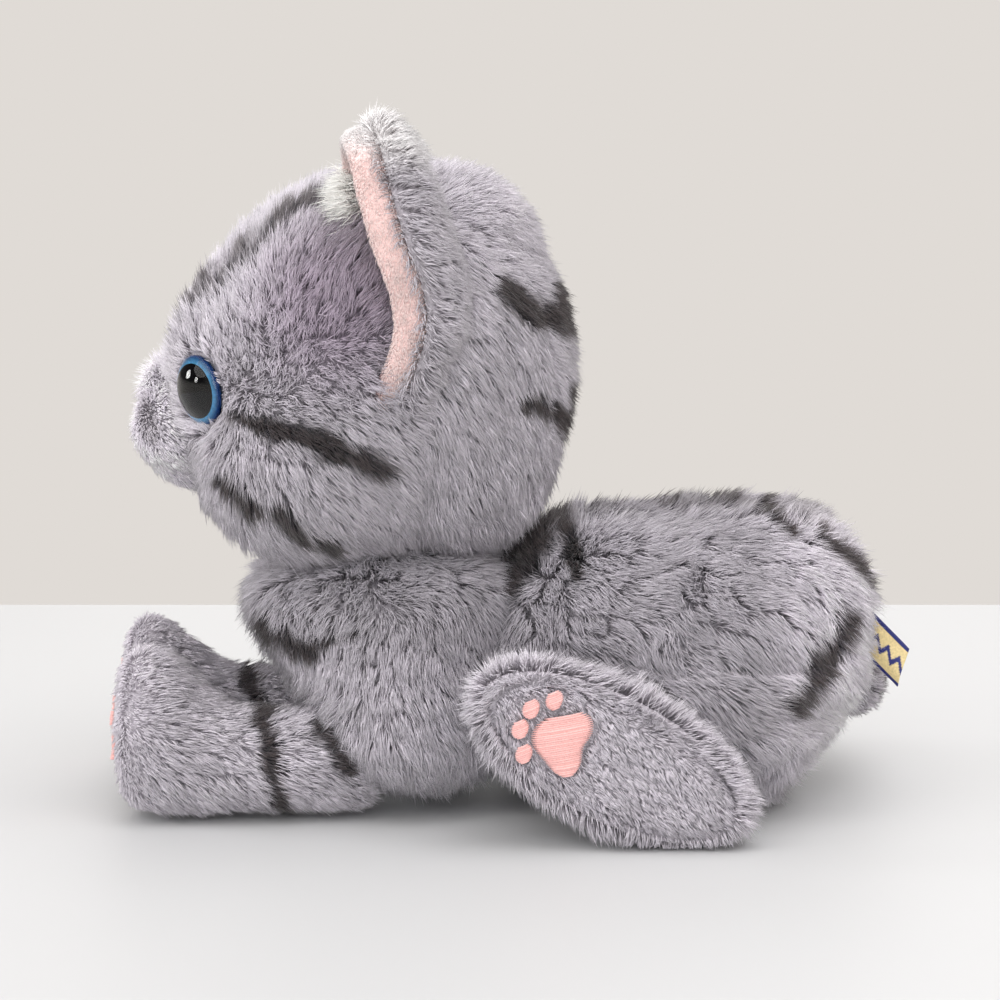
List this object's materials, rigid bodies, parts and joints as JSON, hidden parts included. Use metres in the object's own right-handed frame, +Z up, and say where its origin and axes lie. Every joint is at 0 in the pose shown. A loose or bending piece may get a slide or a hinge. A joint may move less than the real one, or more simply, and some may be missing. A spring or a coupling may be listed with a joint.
{
  "type": "plush cat",
  "caption": "Stuffed grey tabby kitten lying with its chest up, jointed by its seams at neck, ears, legs, hind feet, tail and label.",
  "frame": {"origin": "on the floor, under the middle of the toy's bounding box", "axes": "+Z up, -Y the way the cat faces, +X its left side"},
  "size_m": [0.1372, 0.1976, 0.1672],
  "materials": {
    "grey_tabby_fur": "long combed pile, matte",
    "short_grey_pile": "short pile, matte",
    "pink_pile": "short pile, matte",
    "white_pile": "long pile, matte",
    "fibre_fill": "loose fibre, matte",
    "pink_thread": "satin stitch, slight sheen",
    "tan_thread": "satin stitch, slight sheen",
    "brown_thread": "stitched line, matte",
    "grey_thread": "ladder stitch, matte",
    "pellet_cloth": "plain woven cloth, matte",
    "woven_ribbon": "woven satin ribbon",
    "clear_acrylic": "polished clear",
    "blue_plastic": "painted gloss",
    "black_plastic": "gloss",
    "white_plastic": "moulded matte"
  },
  "bodies": {
    "trunk": {"chest_panel": "grey_tabby_fur", "left_torso_panel": "grey_tabby_fur", "right_torso_panel": "grey_tabby_fur", "torso_stuffing": "fibre_fill", "back_panel": "grey_tabby_fur", "belly_panel": "grey_tabby_fur", "left_haunch_panel": "grey_tabby_fur", "right_haunch_panel": "grey_tabby_fur", "rump_stuffing": "fibre_fill", "pellet_bag": "pellet_cloth"},
    "neck": {"neck_stitching": "grey_thread"},
    "head": {"forehead_panel": "grey_tabby_fur", "left_cheek_panel": "grey_tabby_fur", "right_cheek_panel": "grey_tabby_fur", "left_head_back_panel": "grey_tabby_fur", "right_head_back_panel": "grey_tabby_fur", "muzzle_panel": "short_grey_pile", "head_stuffing": "fibre_fill", "nose": "tan_thread", "mouth_stitching": "brown_thread", "left_eye_lens": "clear_acrylic", "left_eye_iris": "blue_plastic", "left_eye_shank": "black_plastic", "left_eye_washer": "white_plastic", "right_eye_lens": "clear_acrylic", "right_eye_iris": "blue_plastic", "right_eye_shank": "black_plastic", "right_eye_washer": "white_plastic"},
    "left_ear": {"left_ear_back": "grey_tabby_fur", "left_ear_lining": "pink_pile", "left_ear_tuft": "white_pile"},
    "right_ear": {"right_ear_back": "grey_tabby_fur", "right_ear_lining": "pink_pile", "right_ear_tuft": "white_pile"},
    "left_front_leg": {"left_front_leg_cover": "grey_tabby_fur", "left_front_sole": "short_grey_pile", "left_front_pad": "pink_thread", "left_front_toe_pads": "pink_thread", "left_front_leg_stuffing": "fibre_fill"},
    "right_front_leg": {"right_front_leg_cover": "grey_tabby_fur", "right_front_sole": "short_grey_pile", "right_front_pad": "pink_thread", "right_front_toe_pads": "pink_thread", "right_front_leg_stuffing": "fibre_fill"},
    "left_hind_foot": {"left_hind_foot_cover": "grey_tabby_fur", "left_hind_sole": "short_grey_pile", "left_hind_pad": "pink_thread", "left_hind_toe_pads": "pink_thread", "left_hind_foot_stuffing": "fibre_fill"},
    "right_hind_foot": {"right_hind_foot_cover": "grey_tabby_fur", "right_hind_sole": "short_grey_pile", "right_hind_pad": "pink_thread", "right_hind_toe_pads": "pink_thread", "right_hind_foot_stuffing": "fibre_fill"},
    "tail": {"tail_cover": "grey_tabby_fur", "tail_stuffing": "fibre_fill"},
    "label": {"label": "woven_ribbon"}
  },
  "joints": [
    {"name": "neck_turn", "type": "hinge", "parent": "trunk", "child": "neck", "pos_m": [0, -0.0335, 0.058], "axis": [0, 0, 1], "range_deg": [-35, 35], "stiffness_Nm_per_rad": 0.3},
    {"name": "head_nod", "type": "hinge", "parent": "neck", "child": "head", "pos_m": [0, -0.0335, 0.058], "axis": [1, 0, 0], "range_deg": [-14, 12], "stiffness_Nm_per_rad": 0.4},
    {"name": "left_ear_bend", "type": "hinge", "parent": "head", "child": "left_ear", "pos_m": [0.0402, -0.029, 0.1293], "axis": [0.6014, 0, -0.799], "range_deg": [-15, 15], "stiffness_Nm_per_rad": 0.05},
    {"name": "right_ear_bend", "type": "hinge", "parent": "head", "child": "right_ear", "pos_m": [-0.0402, -0.029, 0.1293], "axis": [0.6014, 0, 0.799], "range_deg": [-15, 15], "stiffness_Nm_per_rad": 0.05},
    {"name": "left_front_leg_lift", "type": "hinge", "parent": "trunk", "child": "left_front_leg", "pos_m": [0.027, -0.047, 0.017], "axis": [-1, 0, 0], "range_deg": [0, 24], "stiffness_Nm_per_rad": 0.05},
    {"name": "right_front_leg_lift", "type": "hinge", "parent": "trunk", "child": "right_front_leg", "pos_m": [-0.027, -0.047, 0.017], "axis": [-1, 0, 0], "range_deg": [0, 24], "stiffness_Nm_per_rad": 0.05},
    {"name": "left_hind_foot_swing", "type": "hinge", "parent": "trunk", "child": "left_hind_foot", "pos_m": [0.0465, 0.046, 0.02], "axis": [0, 0, 1], "range_deg": [0, 30], "stiffness_Nm_per_rad": 0.05},
    {"name": "right_hind_foot_swing", "type": "hinge", "parent": "trunk", "child": "right_hind_foot", "pos_m": [-0.0465, 0.046, 0.02], "axis": [0, 0, -1], "range_deg": [0, 30], "stiffness_Nm_per_rad": 0.05},
    {"name": "tail_swing", "type": "hinge", "parent": "trunk", "child": "tail", "pos_m": [-0.004, 0.082, 0.029], "axis": [0, 0, -1], "range_deg": [0, 50], "stiffness_Nm_per_rad": 0.05},
    {"name": "label_flap", "type": "hinge", "parent": "trunk", "child": "label", "pos_m": [0.01, 0.0888, 0.042], "axis": [0.1033, 0.2556, 0.9613], "range_deg": [-35, 35], "stiffness_Nm_per_rad": 0.002}
  ]
}
